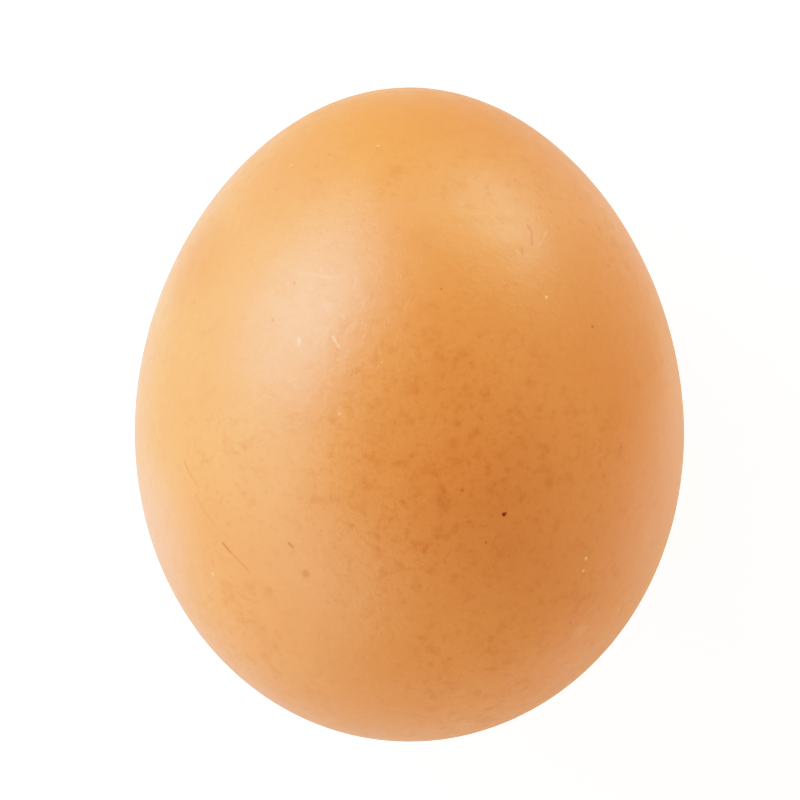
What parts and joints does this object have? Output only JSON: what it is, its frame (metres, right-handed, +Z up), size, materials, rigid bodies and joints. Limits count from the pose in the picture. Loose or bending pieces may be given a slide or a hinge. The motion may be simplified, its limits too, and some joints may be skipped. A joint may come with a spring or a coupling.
{
  "type": "egg",
  "caption": "Brown hen's egg in its shell, lying on its side: a smooth oval, a little slimmer towards the narrow end, with a small flat underneath to rest on.",
  "frame": {"origin": "middle of the bottom of the egg's box, level with the flat that it rests on", "axes": "+Z up, +Y along the egg's long axis towards its narrow end, +X across it"},
  "size_m": [0.045, 0.0536, 0.0448],
  "materials": {
    "eggshell": "brown eggshell, satin, finely pitted, with darker mottling"
  },
  "bodies": {
    "root": {"egg": "eggshell"}
  },
  "joints": []
}
